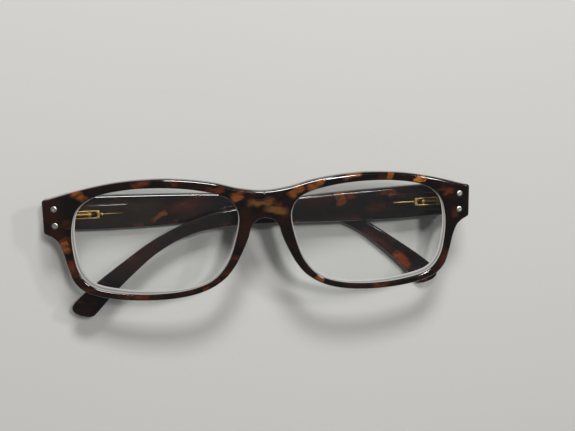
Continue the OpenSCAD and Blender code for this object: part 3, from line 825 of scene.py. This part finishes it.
add_loop(spine, box_n + box_t)
add_loop(box_loop, box_n + box_t)
for step in EDGE_STEPS:
    fall = rounding(box_round * step, box_round, box_round)
    add_loop(box_loop + (slot_at - box_loop) * box_round * step / lip_w, box_n + fall)
for step in EDGE_STEPS[::-1]:
    fall = rounding(lip_round * step, lip_round, lip_round)
    add_loop(slot_at + (box_loop - slot_at) * lip_round * step / lip_w, box_n + fall)
# Below the lip the bore closes in to its floor: the share of the slot's width at each depth
for share, depth in ((1, 2.25), (0.86, 2.72), (0.5, 3.07), (0, 3.2)):
    add_loop(spine + share * (slot_at - spine), depth)
loops, depths = np.array(loops), np.array(depths)


def corners(piece):
    """Where the corners of a piece's mesh are, in metres."""
    places = np.empty(3 * len(piece.data.vertices), np.float32)
    piece.data.vertices.foreach_get("co", places)
    return places.reshape(-1, 3)


def bore_shade(case, side):
    """0 on the face of a spring box, rising to 1 in its bore, where little light reaches."""
    at = corners(case)
    mouth = on_temple(side, slot_start, hinge_y, box_n)
    through = on_temple(side, slot_start, hinge_y, box_n + 1.0) - mouth
    sunk = (at - mouth) @ through / (through @ through)
    middle = np.abs(at[:, 1]) < 0.001 * (slot_half + 0.01)
    return step_up(sunk, 0.2, 1.0) * middle


def buried_shade(rod, side):
    """0 at the ball of an anchor wire, rising to 0.85 at its far end, deep in the acetate."""
    along = np.array(joints[side + "_flex"]["axis"])
    pin = np.array(joints[side + "_fold"]["pos_m"])
    s = 1000 * (corners(rod) - pin) @ along
    return 0.85 * step_up(s, anchor_s + 1.5, anchor_s + groove_len)


# The anchor wire is turned about its own line: a brazed ball, then the plain wire
ball_r, ball_s, rod_r = 0.56, 0.45, 0.24
wire_s = np.unique(np.r_[
    anchor_s - 0.1 + 1.15 * EDGE_STEPS / 2, anchor_s + 1.1 - 0.6 * EDGE_STEPS[::-1],
    np.linspace(anchor_s + 1.3, anchor_s + groove_len, 12),
])
ball = np.sqrt(np.clip(ball_r**2 - (wire_s - anchor_s - ball_s)**2, 0, None))
wire_r = np.maximum(ball, rod_r)
wire_s, wire_r = np.r_[wire_s[0], wire_s, wire_s[-1]], np.r_[0, wire_r, 0]

# The coil spring is round wire wound round the pull rod, between the mouth of the box and
# the nut: a circle carried along a helix, shrunk to a point at both ends to close it.
spring_s, spring_len, spring_travel, spring_play = 3.0, 4.8, 1.3, 0.15
spring_wire, spring_turns, spring_r = 0.12, 8, 0.625
rod_n = box_n + box_t / 2
wound = np.linspace(0, 1, 24 * spring_turns + 1)
wound = np.r_[0, wound, 1][:, None]
wire_size = np.full_like(wound, spring_wire)
wire_size[[0, -1]] = 0
section = np.linspace(0, 2 * np.pi, 10, endpoint=False)
coil_turn = 2 * np.pi * spring_turns * wound
coil_out = spring_r + wire_size * np.cos(section)
coil_s = spring_s + spring_play + (spring_len - 2 * spring_play) * wound + wire_size * np.sin(section)
coil_y = hinge_y + coil_out * np.cos(coil_turn)
coil_n = rod_n + coil_out * np.sin(coil_turn)

for side in ("left", "right"):
    skin = on_temple(side, loops[..., 0], hinge_y + loops[..., 1], depths)
    box_faces = grid_faces(*depths.shape, close_columns=True)
    box = make_piece(side + "_spring_case", skin, box_faces, crease=45)
    store(box, "inside", bore_shade(box, side))
    box.data.materials.append(gold)
    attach(box, side + "_temple")
    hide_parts(side + "_spring_box")

    around = hinge_y + wire_r[:, None] * np.cos(spin)
    out = anchor_n + wire_r[:, None] * np.sin(spin)
    wire = make_piece(side + "_anchor_rod", on_temple(side, wire_s[:, None], around, out),
                      grid_faces(len(wire_s), len(spin), close_columns=True), crease=50)
    store(wire, "inside", buried_shade(wire, side))
    wire.data.materials.append(gold)
    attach(wire, side + "_temple")
    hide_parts(side + "_anchor_wire")

    coil = make_piece(side + "_spring_coil", on_temple(side, coil_s, coil_y, coil_n),
                      grid_faces(len(wound), len(section), close_columns=True), crease=60)
    coil.data.materials.append(gold)
    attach(coil, side + "_temple")
    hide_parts(side + "_hinge_spring")
    held_end = on_temple(side, spring_s, hinge_y, rod_n)
    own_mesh(coil)


# ---- The table, the light and the camera ----
# The glasses lie on a thin pale table top over a pale floor, so that the temples can open
# below it and still be seen. Soft light comes from behind the brow and from the right.
def pale_matt():
    """Plain matt pale grey."""
    f = Finish("pale_matt")
    cloud = f.noise(f.millimetres(), 0.004, 2.0)
    shade = f.mix(cloud, (0.51, 0.50, 0.475, 1), (0.55, 0.54, 0.515, 1))
    return f.surface(f.node("BsdfPrincipled", None, {"Base Color": shade, "Roughness": 0.85}))


def slab(name, low, high):
    """A box between two opposite corners, in metres, with its edges a little rounded."""
    work = bmesh.new()
    bmesh.ops.create_cube(work, size=1)
    bmesh.ops.scale(work, vec=np.array(high) - low, verts=work.verts)
    bmesh.ops.translate(work, vec=(np.array(high) + low) / 2, verts=work.verts)
    bmesh.ops.bevel(work, geom=work.edges, offset=0.0008, segments=3, affect="EDGES", profile=0.5)
    mesh = bpy.data.meshes.new(name)
    work.to_mesh(mesh)
    work.free()
    board = bpy.data.objects.new(name, mesh)
    bpy.context.scene.collection.objects.link(board)
    return board


pale = pale_matt()
under = 0.00003
for name, low, high in (
    ("table", (-0.105, -0.10, -0.0015 - under), (0.13, 0.08, -under)),
    ("floor", (-3, -3, -0.18), (3, 3, -0.16)),
):
    board = slab(name, low, high)
    board.data.materials.append(pale)

world = bpy.data.worlds.new("room")
bpy.context.scene.world = world
world.use_nodes = True
room = world.node_tree.nodes["Background"]
room.inputs["Color"].default_value = (0.95, 0.97, 1.0, 1)
room.inputs["Strength"].default_value = 0.13


def aimed(lamp, place, target):
    """Puts a lamp at a place, turned to face a target, in metres."""
    holder = bpy.data.objects.new(lamp.name, lamp)
    bpy.context.scene.collection.objects.link(holder)
    towards = np.array(target) - np.array(place)
    towards /= np.linalg.norm(towards)
    level = np.cross(towards, [0, 0, 1.0])
    level /= np.linalg.norm(level)
    upright = np.cross(level, towards)
    turn = Matrix(np.column_stack([level, upright, -towards]).tolist()).to_4x4()
    holder.matrix_world = Matrix.Translation(place) @ turn


def soft_box(name, place, target, width, height, watts):
    """A rectangular lamp, in metres and watts."""
    lamp = bpy.data.lights.new(name, "AREA")
    lamp.shape = "RECTANGLE"
    lamp.size, lamp.size_y, lamp.energy = width, height, watts
    aimed(lamp, place, target)


key = bpy.data.lights.new("key", "SUN")
key.energy = 1.2
key.angle = math.radians(8)
aimed(key, (0.20, 0.30, 0.78), (0, 0, 0))
soft_box("window", (0.01, 0.62, 0.50), (0, 0, 0.01), 0.24, 0.16, 5.4)
soft_box("side", (0.62, 0.36, 0.70), (0.04, 0, 0), 0.10, 0.08, 1.7)

camera_data = bpy.data.cameras.new("camera")
camera_data.sensor_width = 36
camera_data.lens = 50.1
camera_data.clip_start = 0.01
camera = bpy.data.objects.new("camera", camera_data)
bpy.context.scene.collection.objects.link(camera)
camera.location = (-0.0321, 0.0458, 0.2668)
camera.rotation_euler = [math.radians(q) for q in (-10.294, -9.129, -0.969)]
bpy.context.scene.camera = camera
bpy.context.scene.view_settings.view_transform = "Standard"
